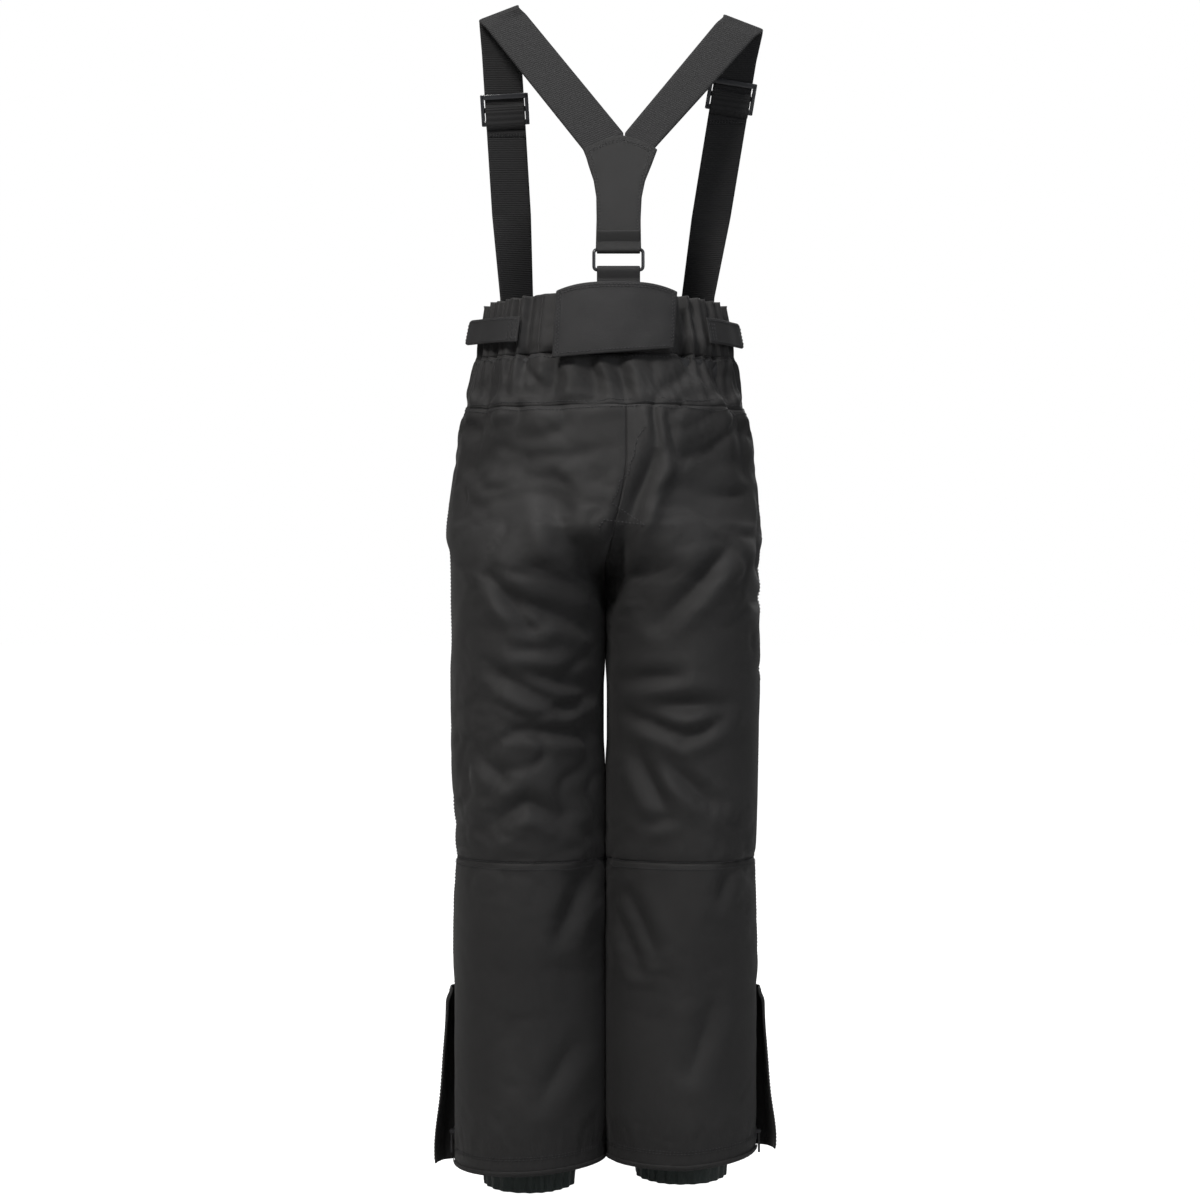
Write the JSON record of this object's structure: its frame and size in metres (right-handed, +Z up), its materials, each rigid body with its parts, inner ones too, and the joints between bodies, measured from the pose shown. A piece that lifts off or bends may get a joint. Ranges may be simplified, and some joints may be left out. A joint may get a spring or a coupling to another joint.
{
  "type": "ski pants",
  "caption": "Padded ski pants with elastic Y-back braces, a back flap, waist tabs, zipped pockets, fly and ankles, and inner gaiters.",
  "frame": {"origin": "centre of the waist opening, level with the waist seam", "axes": "+Z up along the body, -Y the wearer's back, +X the wearer's right"},
  "size_m": [0.3208, 0.2134, 1.1181],
  "materials": {
    "shell_cloth": "black padded polyester twill, matte with a faint sheen",
    "lining_cloth": "black quilted taffeta lining",
    "gaiter_cloth": "black coated taffeta, satin",
    "webbing": "black ribbed elastic webbing",
    "loop_pile": "black loop pile",
    "label_tape": "blank woven tape",
    "hardware_plastic": "dark grey moulded acetal",
    "zip_plastic": "black moulded zip chain on tape",
    "zip_metal": "black enamelled zinc",
    "snap_metal": "black enamelled snap"
  },
  "bodies": {
    "pants": {"left_thigh_back": "shell_cloth", "right_thigh_back": "shell_cloth", "left_thigh_front": "shell_cloth", "right_thigh_front": "shell_cloth", "left_calf_back": "shell_cloth", "right_calf_back": "shell_cloth", "left_calf_front": "shell_cloth", "right_calf_front": "shell_cloth", "back_yoke": "shell_cloth", "back_waistband": "shell_cloth", "left_waist_elastic": "shell_cloth", "right_waist_elastic": "shell_cloth", "left_front_waistband": "shell_cloth", "right_front_waistband": "shell_cloth", "left_hem": "shell_cloth", "right_hem": "shell_cloth", "left_gaiter": "gaiter_cloth", "right_gaiter": "gaiter_cloth", "gaiter_elastics": "webbing", "left_leg_lining": "lining_cloth", "right_leg_lining": "lining_cloth", "seat_lining": "lining_cloth", "pocket_bags": "lining_cloth", "left_pocket_zip": "zip_plastic", "right_pocket_zip": "zip_plastic", "left_ankle_zip": "zip_plastic", "right_ankle_zip": "zip_plastic", "ankle_gussets": "gaiter_cloth", "fly_zip": "zip_plastic", "fly_facing": "gaiter_cloth", "back_tab": "shell_cloth", "loop_patches": "loop_pile", "size_label": "label_tape", "snap_studs": "snap_metal"},
    "back_flap": {"back_flap": "shell_cloth"},
    "ring": {"back_ring": "hardware_plastic"},
    "braces": {"y_patch": "shell_cloth", "left_brace": "webbing", "right_brace": "webbing", "brace_tabs": "shell_cloth"},
    "waist_closure": {"waist_closure": "shell_cloth", "snap_caps": "snap_metal"},
    "left_adjuster": {"left_adjuster": "hardware_plastic"},
    "left_waist_tab": {"left_waist_tab": "shell_cloth"},
    "left_storm_flap": {"left_storm_flap": "shell_cloth"},
    "left_ankle_slider": {"left_ankle_slider": "zip_metal"},
    "left_ankle_puller": {"left_ankle_puller": "zip_plastic"},
    "left_pocket_slider": {"left_pocket_slider": "zip_metal"},
    "left_pocket_puller": {"left_pocket_puller": "zip_plastic"},
    "right_adjuster": {"right_adjuster": "hardware_plastic"},
    "right_waist_tab": {"right_waist_tab": "shell_cloth"},
    "right_storm_flap": {"right_storm_flap": "shell_cloth"},
    "right_ankle_slider": {"right_ankle_slider": "zip_metal"},
    "right_ankle_puller": {"right_ankle_puller": "zip_plastic"},
    "right_pocket_slider": {"right_pocket_slider": "zip_metal"},
    "right_pocket_puller": {"right_pocket_puller": "zip_plastic"},
    "fly_slider": {"fly_slider": "zip_metal"},
    "fly_puller": {"fly_puller": "zip_plastic"}
  },
  "joints": [
    {"name": "left_ankle_zip_slide", "type": "slide", "parent": "pants", "child": "left_ankle_slider", "axis": [0, 0, 1], "range_m": [0, 0.118]},
    {"name": "left_ankle_puller_swing", "type": "hinge", "parent": "left_ankle_slider", "child": "left_ankle_puller", "pos_m": [-0.146, 0, -0.732], "axis": [0, 1, 0], "range_deg": [0, 15]},
    {"name": "right_ankle_zip_slide", "type": "slide", "parent": "pants", "child": "right_ankle_slider", "axis": [0, 0, 1], "range_m": [0, 0.118]},
    {"name": "right_ankle_puller_swing", "type": "hinge", "parent": "right_ankle_slider", "child": "right_ankle_puller", "pos_m": [0.146, 0, -0.732], "axis": [0, -1, 0], "range_deg": [0, 15]},
    {"name": "left_pocket_zip_slide", "type": "slide", "parent": "pants", "child": "left_pocket_slider", "axis": [0.1082, -0.0423, 0.9932], "range_m": [-0.058, 0]},
    {"name": "left_pocket_puller_swing", "type": "hinge", "parent": "left_pocket_slider", "child": "left_pocket_puller", "pos_m": [-0.13323, 0.02516, -0.05161], "axis": [0.3644, 0.9313, 0], "range_deg": [0, 150]},
    {"name": "right_pocket_zip_slide", "type": "slide", "parent": "pants", "child": "right_pocket_slider", "axis": [-0.1082, -0.0423, 0.9932], "range_m": [0, 0.058]},
    {"name": "right_pocket_puller_swing", "type": "hinge", "parent": "right_pocket_slider", "child": "right_pocket_puller", "pos_m": [0.13951, 0.02762, -0.10922], "axis": [0.3644, -0.9313, 0], "range_deg": [0, 150]},
    {"name": "fly_zip_slide", "type": "slide", "parent": "pants", "child": "fly_slider", "axis": [0, -0.1301, 0.9915], "range_m": [-0.096, 0]},
    {"name": "fly_puller_swing", "type": "hinge", "parent": "fly_slider", "child": "fly_puller", "pos_m": [0, 0.09015, -0.00856], "axis": [1, 0, 0], "range_deg": [0, 150]},
    {"name": "back_flap_lift", "type": "hinge", "parent": "pants", "child": "back_flap", "pos_m": [0.012, -0.08467, 0.065], "axis": [-1, 0, 0], "range_deg": [0, 80]},
    {"name": "ring_swing", "type": "hinge", "parent": "pants", "child": "ring", "pos_m": [0.012, -0.07733, 0.076], "axis": [1, 0, 0], "range_deg": [0, 30]},
    {"name": "braces_swing", "type": "hinge", "parent": "ring", "child": "braces", "pos_m": [0.012, -0.07733, 0.0946], "axis": [1, 0, 0], "range_deg": [0, 80]},
    {"name": "left_adjuster_slide", "type": "slide", "parent": "braces", "child": "left_adjuster", "axis": [-0.055, -0.2102, 0.9761], "range_m": [-0.09, 0.022]},
    {"name": "right_adjuster_slide", "type": "slide", "parent": "braces", "child": "right_adjuster", "axis": [0.1539, -0.215, 0.9644], "range_m": [-0.09, 0.022]},
    {"name": "left_waist_tab_peel", "type": "hinge", "parent": "pants", "child": "left_waist_tab", "pos_m": [-0.08008, -0.06666, 0.022], "axis": [0, 0, 1], "range_deg": [0, 100]},
    {"name": "right_waist_tab_peel", "type": "hinge", "parent": "pants", "child": "right_waist_tab", "pos_m": [0.09543, -0.05593, 0.022], "axis": [0, 0, -1], "range_deg": [0, 100]},
    {"name": "left_storm_flap_open", "type": "hinge", "parent": "pants", "child": "left_storm_flap", "pos_m": [-0.1472, 0.0135, -0.68], "axis": [0, 0, -1], "range_deg": [0, 110]},
    {"name": "right_storm_flap_open", "type": "hinge", "parent": "pants", "child": "right_storm_flap", "pos_m": [0.1472, 0.0135, -0.68], "axis": [0, 0, 1], "range_deg": [0, 110]},
    {"name": "waist_closure_open", "type": "hinge", "parent": "pants", "child": "waist_closure", "pos_m": [-0.03026, 0.08485, 0.021], "axis": [0, 0, 1], "range_deg": [0, 100]}
  ]
}
